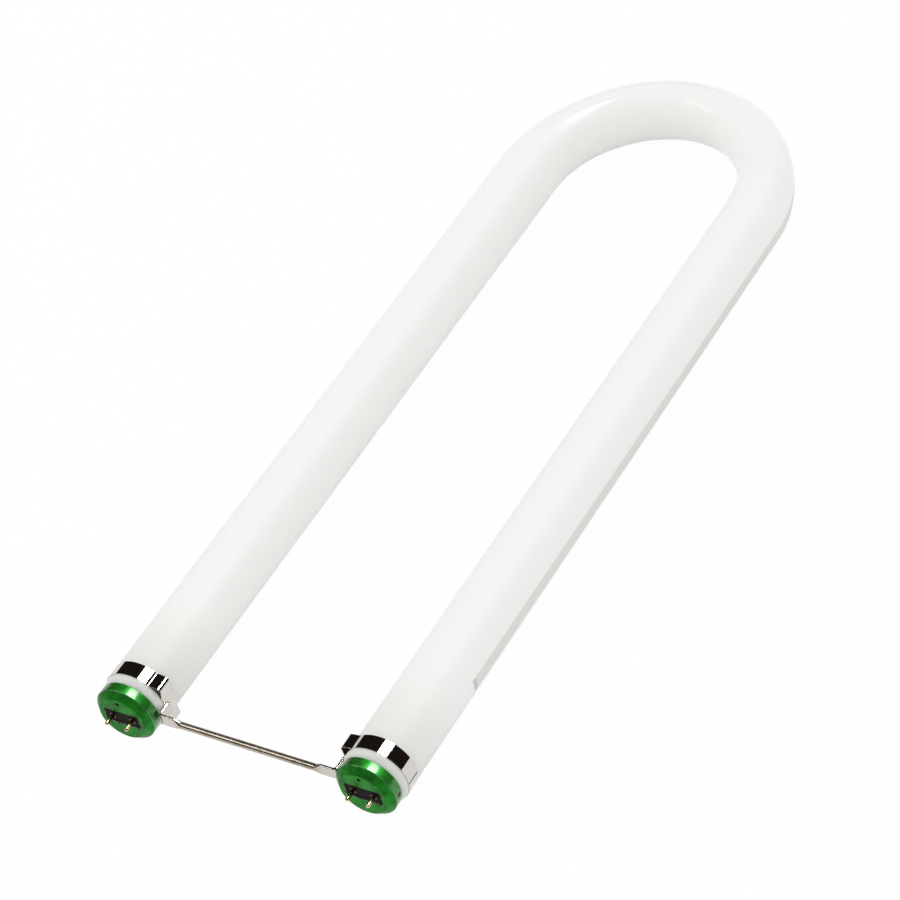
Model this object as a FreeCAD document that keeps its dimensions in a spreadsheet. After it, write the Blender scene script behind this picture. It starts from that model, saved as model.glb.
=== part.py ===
"""U-shaped fluorescent bulb: a bent glass tube, two capped ends with contact pins,
a clip band round each leg and a brace rod between the bands.

Frame: X across the legs, +Y from the caps to the bend, +Z up, lying on Z = 0,
with the origin under the middle of the whole bulb. Lengths are in millimetres.
Distances along a leg are counted from the flat face of its cap.
"""
import FreeCAD, Part
import math
import os
import re
import Sketcher

SIZES = {
    # glass tube
    "overall_length": 571.5,
    "leg_spacing": 152.4,
    "tube_radius": 19.05,
    "bend_depth": 84.0,
    "crown_radius": 17.9,
    "bend_lead": 12.0,
    "neck_gap": 1.0,
    "shoulder_tuck": 0.2,
    "shoulder_length": 3.7,
    "shoulder_round": 4.0,
    # end cap
    "cap_step": 0.85,
    "cap_length": 9.5,
    "cap_wall": 0.8,
    "chamfer_width": 3.9,
    "chamfer_depth": 3.7,
    "edge_break": 0.5,
    "window_margin": 2.03,
    "window_height": 9.8,
    "window_round": 0.9,
    "stake_inset": 2.8,
    "stake_radius": 1.3,
    "stake_depth": 0.3,
    "vent_radius": 0.8,
    "peep_radius": 1.5,
    # cement ring between cap and glass neck
    "cement_thickness": 1.0,
    "plug_fit": 0.05,
    "plug_recess": 0.3,
    # insulator plate behind the window
    "plate_lap": 1.0,
    "plate_round": 2.0,
    "plate_thickness": 2.0,
    # contact pins and the wires inside them
    "pin_spacing": 12.7,
    "pin_radius": 1.2,
    "pin_reach": 6.8,
    "pin_tail": 1.2,
    "pin_tail_radius": 1.0,
    "pin_bore": 0.75,
    "pin_tip_wall": 1.8,
    "collar_radius": 2.0,
    "collar_thickness": 0.4,
    "wire_radius": 0.4,
    "wire_end_gap": 0.5,
    # clip band
    "band_setback": 1.8,
    "band_width": 9.5,
    "band_wall": 0.45,
    "band_fit": 0.1,
    "band_seam_gap": 0.8,
    "fold_angle": 37.0,
    "fold_out": 0.1,
    "fold_height": 14.4,
    "fold_round": 0.8,
    "corner_round": 2.5,
    "crease_angle": 70.0,
    # brace rod
    "brace_radius": 2.0,
    "brace_offset": 7.4,
    "foot_thickness": 1.6,
    "foot_height": 7.5,
    "foot_bend": 1.2,
    "foot_tip_round": 2.0,
    "foot_overlap": 3.0,
    "foot_flat": 8.0,
    "foot_taper": 5.0,
}
SIDES = {"left": -1, "right": 1}
BEND_STEPS = 8

# Places and sizes that several pieces share, as expressions of the sizes above.
LEG_X = "leg_spacing / 2"
FACE_Y = "(pin_reach - overall_length) / 2"
BAND_OUTER = "(tube_radius + band_fit + band_wall)"
AXIS_Z = BAND_OUTER
BEND_START = "(overall_length - bend_depth - crown_radius)"
CAP_RADIUS = "(tube_radius - cap_step)"
CAP_INNER = "(tube_radius - cap_step - cap_wall)"
FACE_RADIUS = "(tube_radius - cap_step - chamfer_width)"
WINDOW_WIDTH = f"(2 * sqrt(({FACE_RADIUS} - window_margin) ^ 2 - (window_height / 2) ^ 2))"
NECK_RADIUS = "(tube_radius - cap_step - cap_wall - cement_thickness)"
PEEP_Y = "(chamfer_depth + cap_length) / 2"
PLATE_BACK = "(cap_wall + plate_thickness)"
NECK_START = "(cap_wall + plate_thickness + pin_tail + neck_gap)"
SHOULDER_START = "(cap_length - shoulder_tuck)"
SHOULDER_END = "(cap_length - shoulder_tuck + shoulder_length)"
BAND_START = "(cap_length - shoulder_tuck + shoulder_length + band_setback)"
FOOT_OUTER = f"({LEG_X} - {BAND_OUTER})"
FOOT_INNER = f"({FOOT_OUTER} - foot_thickness)"
FLAT_X = f"({FOOT_INNER} - foot_flat)"
ROUND_X = f"({FLAT_X} - foot_taper)"
FOLD_X = f"({BAND_OUTER} + fold_out)"

doc = FreeCAD.newDocument("UShapedBulb")
sheet = doc.addObject("Spreadsheet::Sheet", "Sizes")
for row, (name, number) in enumerate(SIZES.items(), start=1):
    sheet.set(f"A{row}", name)
    sheet.set(f"B{row}", str(number))
    sheet.setAlias(f"B{row}", name)
doc.recompute()


def size(text):
    """The expression with every size name pointing at its cell."""
    return re.sub(r"[a-z]+(?:_[a-z]+)+", r"Sizes.\g<0>", text)


def value(text):
    """The number that an expression of the sizes has now."""
    return sheet.evalExpression(size(text))


def bind(thing, **properties):
    """Bind properties of an object to expressions of the sizes."""
    for name, text in properties.items():
        thing.setExpression(name, size(text))


def place(thing, x, y, z):
    """Bind the place of an object."""
    for name, text in (("x", x), ("y", y), ("z", z)):
        thing.setExpression(f"Placement.Base.{name}", size(text))


def new_body(label, x="0", y=FACE_Y):
    """A body whose own origin is on the height of the tube's axis."""
    body = doc.addObject("PartDesign::Body", label)
    body.Label = label
    place(body, x, y, AXIS_Z)
    return body


def plane(body, role):
    """One of the body's own origin planes."""
    return next(f for f in body.Origin.OriginFeatures if f.Role == role)


def new_sketch(body, name, role, offset="0"):
    """A sketch on one of the body's own origin planes, or parallel to it."""
    sketch = body.newObject("Sketcher::SketchObject", f"{body.Label}_{name}")
    sketch.AttachmentSupport = (plane(body, role), [""])
    sketch.MapMode = "FlatFace"
    sketch.setExpression("AttachmentOffset.Base.z", size(offset))
    return sketch


def hold(sketch, kind, edge, end, text):
    """Constrain one end of an edge at a distance from the sketch's origin."""
    number = sketch.addConstraint(Sketcher.Constraint(kind, -1, 1, edge, end, value(text)))
    sketch.setExpression(f"Constraints[{number}]", size(text))


def hold_both(sketch, edge, end, x, y):
    """Constrain one end of an edge along both axes of the sketch."""
    for kind, axis, text in (("DistanceX", -2, x), ("DistanceY", -1, y)):
        if text == "0":
            sketch.addConstraint(Sketcher.Constraint("PointOnObject", edge, end, axis))
        else:
            hold(sketch, kind, edge, end, text)


def set_radius(sketch, edge, text):
    """Constrain the radius of a circle or an arc."""
    number = sketch.addConstraint(Sketcher.Constraint("Radius", edge, value(text)))
    sketch.setExpression(f"Constraints[{number}]", size(text))


def join(sketch, edge, following):
    """Join the end of one edge to the start of the next."""
    sketch.addConstraint(Sketcher.Constraint("Coincident", edge, 2, following, 1))


def add_chain(sketch, corners):
    """Straight edges from each corner to the next."""
    spots = [FreeCAD.Vector(value(x), value(y), 0) for x, y in corners]
    first = sketch.GeometryCount
    for start, end in zip(spots, spots[1:]):
        sketch.addGeometry(Part.LineSegment(start, end))
    last = sketch.GeometryCount - 1
    for edge in range(first, last):
        join(sketch, edge, edge + 1)
    for edge, (x, y) in enumerate(corners[:-1], start=first):
        hold_both(sketch, edge, 1, x, y)
    return first, last


def add_polygon(sketch, corners):
    """A closed outline of straight edges through the corners."""
    first, last = add_chain(sketch, corners + corners[:1])
    join(sketch, last, first)


def add_rectangle(sketch, width, height, x="0"):
    """A rectangle of the given size, centred on the sketch's X axis."""
    left, right = f"({x}) - ({width}) / 2", f"({x}) + ({width}) / 2"
    low, high = f"-({height}) / 2", f"({height}) / 2"
    add_polygon(sketch, [(left, low), (right, low), (right, high), (left, high)])


def add_circle(sketch, x, y, radius):
    """A circle bound to its place and radius."""
    centre = FreeCAD.Vector(value(x), value(y), 0)
    circle = sketch.addGeometry(Part.Circle(centre, FreeCAD.Vector(0, 0, 1), value(radius)))
    hold_both(sketch, circle, 3, x, y)
    set_radius(sketch, circle, radius)


def revolve(body, sketch):
    """Turn a half section about the Y axis of the body."""
    turned = body.newObject("PartDesign::Revolution", f"{sketch.Label}_turned")
    turned.Profile = sketch
    turned.ReferenceAxis = (sketch, ["V_Axis"])
    turned.Angle = 360
    doc.recompute()
    return turned


def pad(body, sketch, length, side_type="One side", reverse=False):
    """Raise a sketch to a solid."""
    raised = body.newObject("PartDesign::Pad", f"{sketch.Label}_pad")
    raised.Profile = sketch
    raised.SideType = side_type
    raised.Reversed = reverse
    bind(raised, Length=length)
    doc.recompute()
    return raised


def pocket(body, sketch, depth, reverse=False):
    """Cut a sketch into the body, and make sure that it takes something away."""
    before = body.Shape.Volume
    cut = body.newObject("PartDesign::Pocket", f"{sketch.Label}_cut")
    cut.Profile = sketch
    cut.Reversed = reverse
    bind(cut, Length=depth)
    doc.recompute()
    if body.Shape.Volume >= before:
        raise RuntimeError(f"{cut.Label} takes nothing away")
    return cut


def dress(body, base, kind, name, wanted, **sizes):
    """Round or break those edges of a feature that pass the test."""
    edges = enumerate(base.Shape.Edges, start=1)
    dressed = body.newObject(f"PartDesign::{kind}", f"{body.Label}_{name}")
    dressed.Base = (base, [f"Edge{number}" for number, edge in edges if wanted(edge)])
    bind(dressed, **sizes)
    doc.recompute()
    return dressed


def close(first, second):
    """Whether two lengths are the same, to a millionth of a millimetre."""
    return abs(first - second) < 1e-6


def is_hoop(edge, radius, y):
    """Whether an edge is a circle about the Y axis, of this radius and at this place."""
    round_edge = isinstance(edge.Curve, Part.Circle)
    if not round_edge or not close(edge.Curve.Center.y, value(y)):
        return False
    return close(edge.Curve.Radius, value(radius))


def runs_along(edge, x, y, z):
    """Whether an edge is straight and runs along the direction."""
    straight = isinstance(edge.Curve, Part.Line)
    return straight and close(abs(edge.Curve.Direction.dot(FreeCAD.Vector(x, y, z))), 1)


def make_leg(label, side):
    """Straight leg of the tube, drawn in at a shoulder to the neck that the cap holds."""
    body = new_body(f"{label}_leg", f"{side} * {LEG_X}")
    sketch = new_sketch(body, "section", "XY_Plane")
    far_end = f"{BEND_START} - bend_lead"
    add_polygon(sketch, [
        ("0", NECK_START), (NECK_RADIUS, NECK_START), (NECK_RADIUS, SHOULDER_START),
        ("tube_radius", SHOULDER_END), ("tube_radius", far_end), ("0", far_end)])
    turned = revolve(body, sketch)
    dress(body, turned, "Fillet", "shoulder", lambda edge: is_hoop(edge, "tube_radius", SHOULDER_END),
          Radius="shoulder_round")
    return body


def make_bend():
    """Bend of the tube: a half ellipse, with a section that narrows towards its crown."""
    rings = []
    for step in range(-1, BEND_STEPS + 2):
        on_bend = min(max(step, 0), BEND_STEPS)
        turn = f"{180 * on_bend / BEND_STEPS} deg"
        lead = "0" if step == on_bend else "bend_lead"
        x = f"{LEG_X} * cos({turn})"
        y = f"{FACE_Y} + {BEND_START} + bend_depth * sin({turn}) - {lead}"
        heading = f"atan2({LEG_X} * sin({turn}); bend_depth * cos({turn}))"
        facing = f"rotation(vector(0; 0; 1); {heading}) * rotation(vector(1; 0; 0); -90)"
        ring = doc.addObject("Part::Circle", "bend_section")
        bind(ring, Radius=f"tube_radius + (crown_radius - tube_radius) * sin({turn}) ^ 2",
             Placement=f"placement(vector({x}; {y}; {AXIS_Z}); {facing})")
        rings.append(ring)
    bend = doc.addObject("Part::Loft", "bend")
    bend.Sections = rings
    bend.Solid = True
    return bend


def make_envelope():
    """The whole tube, sealed and opaque with its white coat, as one solid."""
    left_leg, right_leg = [make_leg(label, side) for label, side in SIDES.items()]
    envelope = doc.addObject("Part::MultiFuse", "glass_envelope")
    envelope.Label = "glass_envelope"
    envelope.Shapes = [left_leg, make_bend(), right_leg]
    envelope.Refine = True
    return envelope


def make_cap(label, side):
    """Pressed cap: face, chamfer and skirt of one wall, with a window, a stake and two holes."""
    body = new_body(f"{label}_end_cap", f"{side} * {LEG_X}")
    section = new_sketch(body, "section", "XY_Plane")
    slope = "(chamfer_width / chamfer_depth)"
    secant = f"sqrt(1 + {slope} ^ 2)"
    inner_face = f"{FACE_RADIUS} + cap_wall * ({slope} - {secant})"
    inner_skirt = f"chamfer_depth + cap_wall * ({secant} - 1) / {slope}"
    add_polygon(section, [
        ("0", "0"), (FACE_RADIUS, "0"), (CAP_RADIUS, "chamfer_depth"), (CAP_RADIUS, "cap_length"),
        (CAP_INNER, "cap_length"), (CAP_INNER, inner_skirt), (inner_face, "cap_wall"), ("0", "cap_wall")])
    turned = revolve(body, section)
    rims = ((FACE_RADIUS, "0"), (CAP_RADIUS, "chamfer_depth"))
    dress(body, turned, "Chamfer", "rims", lambda edge: any(is_hoop(edge, *rim) for rim in rims),
          Size="edge_break")
    window = new_sketch(body, "window", "XZ_Plane")
    add_rectangle(window, WINDOW_WIDTH, "window_height")
    cut = pocket(body, window, "cap_wall")
    dress(body, cut, "Fillet", "window_corners", lambda edge: runs_along(edge, 0, 1, 0)
          and close(abs(edge.Vertexes[0].X), value(f"{WINDOW_WIDTH} / 2")), Radius="window_round")
    marks = (("stake", "stake_radius", "stake_depth"), ("vent", "vent_radius", "cap_wall"))
    for name, radius, depth in marks:
        mark = new_sketch(body, name, "XZ_Plane")
        add_circle(mark, "0", f"{FACE_RADIUS} - stake_inset", radius)
        pocket(body, mark, depth)
    peep = new_sketch(body, "peep_hole", "YZ_Plane")
    add_circle(peep, PEEP_Y, "0", "peep_radius")
    pocket(body, peep, CAP_RADIUS, reverse=side > 0)
    return body


def make_cement(label, side):
    """Ring of basing cement that holds the cap on the glass neck and fills its peep hole."""
    body = new_body(f"{label}_cement", f"{side} * {LEG_X}")
    section = new_sketch(body, "section", "XY_Plane")
    add_polygon(section, [
        (NECK_RADIUS, NECK_START), (CAP_INNER, NECK_START),
        (CAP_INNER, SHOULDER_START), (NECK_RADIUS, SHOULDER_START)])
    revolve(body, section)
    plug = new_sketch(body, "plug", "YZ_Plane", f"{side} * ({CAP_INNER} - cement_thickness / 2)")
    add_circle(plug, PEEP_Y, "0", "peep_radius - plug_fit")
    pad(body, plug, "cement_thickness / 2 + cap_wall - plug_recess", reverse=side < 0)
    return body


def make_insulator(label, side):
    """Insulator plate behind the cap's window, with a hole for each pin."""
    body = new_body(f"{label}_insulator", f"{side} * {LEG_X}")
    outline = new_sketch(body, "outline", "XZ_Plane", "-cap_wall")
    add_rectangle(outline, f"{WINDOW_WIDTH} + 2 * plate_lap", "window_height + 2 * plate_lap")
    plate = pad(body, outline, "plate_thickness", reverse=True)
    dress(body, plate, "Fillet", "corners", lambda edge: runs_along(edge, 0, 1, 0), Radius="plate_round")
    holes = new_sketch(body, "holes", "XZ_Plane", "-cap_wall")
    for hand in SIDES.values():
        add_circle(holes, f"{hand} * pin_spacing / 2", "0", "pin_tail_radius")
    pocket(body, holes, "plate_thickness")
    return body


def make_pin(label, x):
    """Hollow contact pin: a domed tip, a collar that seats on the insulator and a tail through it."""
    body = new_body(label, x, f"{FACE_Y} - pin_reach")
    section = new_sketch(body, "section", "XY_Plane")
    seat = "pin_reach + cap_wall"
    collar = "pin_reach + cap_wall - collar_thickness"
    tail = f"pin_reach + {PLATE_BACK} + pin_tail"
    radius = value("pin_radius")
    ball = Part.Circle(FreeCAD.Vector(0, radius, 0), FreeCAD.Vector(0, 0, 1), radius)
    dome = section.addGeometry(Part.ArcOfCircle(ball, -math.pi / 2, 0))
    first, last = add_chain(section, [
        ("pin_radius", "pin_radius"), ("pin_radius", collar), ("collar_radius", collar),
        ("collar_radius", seat), ("pin_tail_radius", seat), ("pin_tail_radius", tail), ("pin_bore", tail),
        ("pin_bore", "pin_tip_wall"), ("0", "pin_tip_wall"), ("0", "0")])
    join(section, last, dome)
    join(section, dome, first)
    hold_both(section, dome, 1, "0", "0")
    section.addConstraint(Sketcher.Constraint("PointOnObject", dome, 3, -2))
    revolve(body, section)
    return body


def make_wire(label, x):
    """Lead wire from the end of the glass into the bore of a pin."""
    wire = doc.addObject("Part::Cylinder", label)
    wire.Label = label
    wire.Placement.Rotation = FreeCAD.Rotation(FreeCAD.Vector(1, 0, 0), -90)
    start = "pin_reach - pin_tip_wall - wire_end_gap"
    bind(wire, Radius="wire_radius", Height=f"{NECK_START} + {start}")
    place(wire, x, f"{FACE_Y} - ({start})", AXIS_Z)
    return wire


def add_band_outline(sketch):
    """Outside of the band across the leg, with its two square folds on the +X side."""
    radius, across, height = value(BAND_OUTER), value(FOLD_X), value("fold_height")
    fold = math.radians(90 - value("fold_angle"))
    crease = math.radians(90 - value("crease_angle"))
    hoop = Part.Circle(FreeCAD.Vector(), FreeCAD.Vector(0, 0, 1), radius)
    wrap = Part.ArcOfCircle(hoop, fold, 2 * math.pi - fold)
    web = Part.ArcOfCircle(hoop, -crease, crease)
    low_corner, high_corner = FreeCAD.Vector(across, -height, 0), FreeCAD.Vector(across, height, 0)
    edges = [wrap, Part.LineSegment(wrap.EndPoint, low_corner), Part.LineSegment(low_corner, web.StartPoint),
             web, Part.LineSegment(web.EndPoint, high_corner), Part.LineSegment(high_corner, wrap.StartPoint)]
    sketch.addGeometry(edges)
    for edge in range(len(edges)):
        join(sketch, edge, (edge + 1) % len(edges))
    for arc, angle in ((0, "fold_angle"), (3, "crease_angle")):
        sketch.addConstraint(Sketcher.Constraint("Coincident", arc, 3, -1, 1))
        set_radius(sketch, arc, BAND_OUTER)
        for end in (1, 2):
            hold(sketch, "DistanceX", arc, end, f"{BAND_OUTER} * sin({angle} * 1 deg)")
    hold_both(sketch, 2, 1, FOLD_X, "-fold_height")
    hold_both(sketch, 5, 1, FOLD_X, "fold_height")


def make_band(label, side):
    """Clip band: a strip bent round the leg, folded on the inner side and open at its outer seam."""
    body = new_body(f"{label}_clip_band", f"{side} * {LEG_X}")
    body.Placement.Rotation = FreeCAD.Rotation(FreeCAD.Vector(0, 1, 0), 90 + 90 * side)
    outline = new_sketch(body, "outline", "XZ_Plane", f"-{BAND_START}")
    add_band_outline(outline)
    block = pad(body, outline, "band_width", reverse=True)
    corner_x = value(FOLD_X)
    creased = dress(body, block, "Fillet", "creases", lambda edge: runs_along(edge, 0, 1, 0)
                    and not close(edge.Vertexes[0].X, corner_x), Radius="fold_round")
    bent = dress(body, creased, "Fillet", "corners", lambda edge: runs_along(edge, 0, 1, 0)
                 and close(edge.Vertexes[0].X, corner_x), Radius="corner_round")
    strip = body.newObject("PartDesign::Thickness", f"{body.Label}_strip")
    faces = enumerate(bent.Shape.Faces, start=1)
    ends = [f"Face{number}" for number, face in faces if close(abs(face.normalAt(0, 0).y), 1)]
    strip.Base = (bent, ends)
    strip.Reversed = True
    strip.Join = "Intersection"
    bind(strip, Value="band_wall")
    doc.recompute()
    seam = new_sketch(body, "seam", "XZ_Plane", f"-{BAND_START}")
    add_rectangle(seam, "4 * band_wall", "band_seam_gap", f"-{BAND_OUTER}")
    pocket(body, seam, "band_width")
    return body


def make_brace():
    """Brace rod, flattened at both ends and bent to a foot that lies on each band."""
    body = new_body("brace_rod")
    rod = new_sketch(body, "rod", "YZ_Plane")
    add_circle(rod, "brace_offset", "0", "brace_radius")
    pad(body, rod, ROUND_X)
    round_end = new_sketch(body, "round_end", "YZ_Plane", ROUND_X)
    add_circle(round_end, "brace_offset", "0", "brace_radius")
    flat_end = new_sketch(body, "flat_end", "YZ_Plane", FLAT_X)
    add_rectangle(flat_end, "foot_thickness", "foot_height", "brace_offset")
    taper = body.newObject("PartDesign::AdditiveLoft", "brace_rod_taper")
    taper.Profile = round_end
    taper.Sections = [flat_end]
    front, back = "brace_offset - foot_thickness / 2", "brace_offset + foot_thickness / 2"
    tip = f"{BAND_START} + foot_overlap"
    foot = new_sketch(body, "foot", "XY_Plane")
    add_polygon(foot, [
        (FLAT_X, front), (FOOT_OUTER, front), (FOOT_OUTER, tip),
        (FOOT_INNER, tip), (FOOT_INNER, back), (FLAT_X, back)])
    shaped = pad(body, foot, "foot_height", "Symmetric")
    for name, radius, x, y in (("outer_bend", "foot_bend + foot_thickness", FOOT_OUTER, front),
                               ("inner_bend", "foot_bend", FOOT_INNER, back)):
        spot = FreeCAD.Vector(value(x), value(y), 0)
        shaped = dress(body, shaped, "Fillet", name, lambda edge: runs_along(edge, 0, 0, 1)
                       and close(edge.Vertexes[0].X, spot.x) and close(edge.Vertexes[0].Y, spot.y),
                       Radius=radius)
    dress(body, shaped, "Fillet", "tip_corners", lambda edge: runs_along(edge, 1, 0, 0)
          and close(edge.Vertexes[0].Y, value(tip)), Radius="foot_tip_round")
    whole = body.newObject("PartDesign::Mirrored", "brace_rod_whole")
    whole.TransformMode = "Whole shape"
    whole.MirrorPlane = (plane(body, "YZ_Plane"), [""])
    body.Tip = whole
    doc.recompute()
    return body


pieces = [make_envelope(), make_brace()]
for label, side in SIDES.items():
    pieces += [make_cap(label, side), make_cement(label, side)]
    pieces += [make_insulator(label, side), make_band(label, side)]
    for place_name, hand in (("inner", -side), ("outer", side)):
        x = f"{side} * {LEG_X} + {hand} * pin_spacing / 2"
        pieces.append(make_pin(f"{label}_pin_{place_name}", x))
        pieces.append(make_wire(f"{label}_lead_wire_{place_name}", x))
doc.recompute()

for thing in doc.Objects:
    if "Invalid" in thing.State or "Error" in thing.State:
        raise RuntimeError(f"{thing.Label} failed to build")
for piece in pieces:
    if piece.Shape.isNull() or not piece.Shape.isValid() or len(piece.Shape.Solids) != 1:
        raise RuntimeError(f"{piece.Label} is not one valid solid")

os.makedirs("parts", exist_ok=True)
for piece in pieces:
    piece.Shape.exportStep(f"parts/{piece.Label}.step")
    print(piece.Label, round(piece.Shape.Volume, 2))
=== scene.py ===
from functools import partial
from math import atan2, cos, hypot, pi, radians, sin, tan

import bmesh
import bpy
from bpy.props import FloatProperty, FloatVectorProperty, IntProperty, PointerProperty
from bpy.types import Operator, Panel, PropertyGroup
from mathutils import Matrix, Vector


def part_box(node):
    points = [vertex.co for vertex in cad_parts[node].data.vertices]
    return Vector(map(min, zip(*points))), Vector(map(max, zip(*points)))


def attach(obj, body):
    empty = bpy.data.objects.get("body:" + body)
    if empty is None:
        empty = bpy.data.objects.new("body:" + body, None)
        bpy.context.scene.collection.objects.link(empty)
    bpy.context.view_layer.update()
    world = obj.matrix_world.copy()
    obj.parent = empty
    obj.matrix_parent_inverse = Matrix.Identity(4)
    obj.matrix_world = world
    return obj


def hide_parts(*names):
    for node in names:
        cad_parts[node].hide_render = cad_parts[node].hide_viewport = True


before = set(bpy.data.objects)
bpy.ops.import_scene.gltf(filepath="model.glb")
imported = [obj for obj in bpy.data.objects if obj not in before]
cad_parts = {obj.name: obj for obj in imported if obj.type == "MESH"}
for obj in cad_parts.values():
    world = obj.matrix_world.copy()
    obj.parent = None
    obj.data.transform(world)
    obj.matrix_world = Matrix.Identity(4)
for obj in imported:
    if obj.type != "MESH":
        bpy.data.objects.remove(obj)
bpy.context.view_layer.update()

bl_info = {
    "name": "U-shaped fluorescent bulb",
    "version": (1, 0, 0),
    "blender": (4, 5, 0),
    "location": "3D View > Sidebar > Bulb",
    "description": "Dresses the packed solids of a U-shaped fluorescent bulb and sets its studio",
    "category": "Object",
}

SIDES = {"left": -1, "right": 1}

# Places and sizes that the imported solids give, in metres.
CAP_LOW, CAP_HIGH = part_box("right_end_cap")
BAND_LOW, BAND_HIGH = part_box("right_clip_band")
GLASS_LOW, GLASS_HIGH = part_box("glass_envelope")
BRACE_LOW, BRACE_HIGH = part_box("brace_rod")
PIN_LOW, PIN_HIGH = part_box("right_pin_outer")
LEG_X = (CAP_LOW.x + CAP_HIGH.x) / 2
AXIS_Z = (CAP_LOW.z + CAP_HIGH.z) / 2

# Points nearer than this are one point, and edges shorter than this have no length.
SAME_PLACE, NO_LENGTH = 1e-7, 1e-8
WHITE = (1, 1, 1, 1)

# Kinds of node that are used again and again.
MATH, VECTOR_MATH, MAP_RANGE = "ShaderNodeMath", "ShaderNodeVectorMath", "ShaderNodeMapRange"
BUMP, SEPARATE = "ShaderNodeBump", "ShaderNodeSeparateXYZ"


def mm(number):
    """Millimetres as metres."""
    return number / 1000


def linear(code):
    """An sRGB hex code as linear RGBA."""
    parts = [int(code[place:place + 2], 16) / 255 for place in (0, 2, 4)]
    bright = [c / 12.92 if c <= 0.04045 else ((c + 0.055) / 1.055) ** 2.4 for c in parts]
    return (*bright, 1.0)


def held(kind, name, description, default, **limits):
    """A property with its name, description and default."""
    return kind(name=name, description=description, default=default, **limits)


def angle(name, description, degrees):
    """A property that holds an angle."""
    return held(FloatProperty, name, description, radians(degrees), subtype="ANGLE")


def colour(name, description, code):
    """A property that holds a colour."""
    return held(FloatVectorProperty, name, description, linear(code), size=4, min=0, max=1,
                subtype="COLOR")


# Properties that hold a length in metres, a level of light and a whole number.
length = partial(held, FloatProperty, min=0, unit="LENGTH", precision=5)
level = partial(held, FloatProperty, min=0)
count = partial(held, IntProperty, min=3)


class TubeSizes(PropertyGroup):
    """Sizes of the bent glass tube."""
    radius: length("Radius", "Outside radius of the legs", GLASS_HIGH.x - LEG_X)
    bend_half_width: length(
        "Bend half width", "Half the tube's width in the bend, where bending drew it in", mm(17))
    bend_depth: length(
        "Bend depth", "From the start of the bend to its crown, on the tube's axis", mm(84.9))
    draw_length: length("Draw length", "Length along the leg in which the tube draws in", mm(48))
    neck_radius: length("Neck radius", "Outside radius of the neck that the cap holds", mm(16.4))
    neck_round: length("Neck round", "Round where the neck widens", mm(1))
    shoulder_tuck: length("Shoulder tuck", "How far the shoulder starts inside the cap", mm(0.2))
    shoulder_length: length("Shoulder length", "Length of the shoulder along the leg", mm(3.7))
    shoulder_round: length("Shoulder round", "Round where the shoulder meets the leg", mm(4))
    stripe_start: length(
        "Stripe start", "From the face of the cap to the end of the stripe", mm(87))
    stripe_top: length(
        "Stripe top", "Upper edge of the stripe above the tube's axis, at its start", mm(3.2))
    stripe_fall: length(
        "Stripe fall", "How far the stripe has come down where the bend starts", mm(1.8))
    stripe_width: length("Stripe width", "Width of the stripe on the outside of the U", mm(8))
    ring_gap: length("Ring gap", "Distance between rings of the mesh along a leg", mm(25))
    bend_rings: count("Bend rings", "Rings of the mesh round the bend", 72)
    sides: count("Sides", "Sides of the mesh round the tube", 96)


class CapSizes(PropertyGroup):
    """Sizes of the pressed end caps."""
    radius: length("Radius", "Outside radius of the skirt", (CAP_HIGH.x - CAP_LOW.x) / 2)
    depth: length("Depth", "From the face to the rim", CAP_HIGH.y - CAP_LOW.y)
    wall: length("Wall", "Thickness of the sheet", mm(0.8))
    chamfer_width: length("Chamfer width", "Across the slope between face and skirt", mm(3.9))
    chamfer_depth: length("Chamfer depth", "Along the slope between face and skirt", mm(3.7))
    edge_round: length("Edge round", "Round of the pressed edges", mm(0.7))
    rim_round: length("Rim round", "Round of the trimmed rim", mm(0.2))
    window_width: length("Window width", "Width of the window in the face", mm(22.5))
    window_height: length("Window height", "Height of the window in the face", mm(9.8))
    window_round: length("Window round", "Round of the window's corners", mm(0.9))
    window_lip: length("Window lip", "Round of the window's front edge", mm(0.3))
    stake_height: length("Stake height", "Height of the stake mark over the middle", mm(11.5))
    stake_radius: length("Stake radius", "Radius of the stake mark", mm(1.3))
    stake_depth: length("Stake depth", "Depth of the stake mark", mm(0.3))
    vent_radius: length("Vent radius", "Radius of the small hole in the stake mark", mm(0.8))
    peep_radius: length("Peep radius", "Radius of the hole in the skirt", mm(1.5))
    end_steps: count("End steps", "Steps of the mesh along the window's short sides", 14)
    side_steps: count("Side steps", "Steps of the mesh along the window's long sides", 44)


class PinSizes(PropertyGroup):
    """Sizes of the contact pins."""
    radius: length("Radius", "Outside radius", (PIN_HIGH.x - PIN_LOW.x) / 2 - mm(0.8))
    spacing: length("Spacing", "Between the two pins of a cap", mm(12.7))
    tip_round: length("Tip round", "Round of the tip", mm(1.1))
    collar_radius: length("Collar radius", "Outside radius of the collar", mm(2))
    collar_thickness: length("Collar thickness", "Thickness of the collar", mm(0.4))
    collar_round: length("Collar round", "Round of the collar's edge", mm(0.15))
    seat: length("Seat", "From the cap's face to the plate that the collar sits on", mm(0.8))
    tail_radius: length("Tail radius", "Radius of the tail that goes through the plate", mm(1))
    sides: count("Sides", "Sides of the mesh round a pin", 48)


class BandSizes(PropertyGroup):
    """Sizes of the bright clip bands."""
    outer_radius: length(
        "Outer radius", "Outside radius of the hoop", (BAND_HIGH.z - BAND_LOW.z) / 2)
    width: length("Width", "Width of the strip", BAND_HIGH.y - BAND_LOW.y)
    wall: length("Wall", "Thickness of the strip", mm(0.45))
    edge_round: length("Edge round", "Round of the strip's edges", mm(0.12))
    seam_gap: length("Seam gap", "Gap between the ends of the strip", mm(0.8))
    fold_angle: angle("Fold angle", "Where the strip leaves the hoop, from the top", 37)
    crease_angle: angle("Crease angle", "Where the fold comes back to the hoop, from the top", 70)
    fold_out: length("Fold out", "How far the fold's corner stands out past the hoop", mm(0.1))
    fold_height: length("Fold height", "Height of the fold's corner over the axis", mm(14.4))
    fold_round: length("Fold round", "Outside round of the creases", mm(0.8))
    corner_round: length("Corner round", "Outside round of the folds' corners", mm(2.5))


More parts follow.
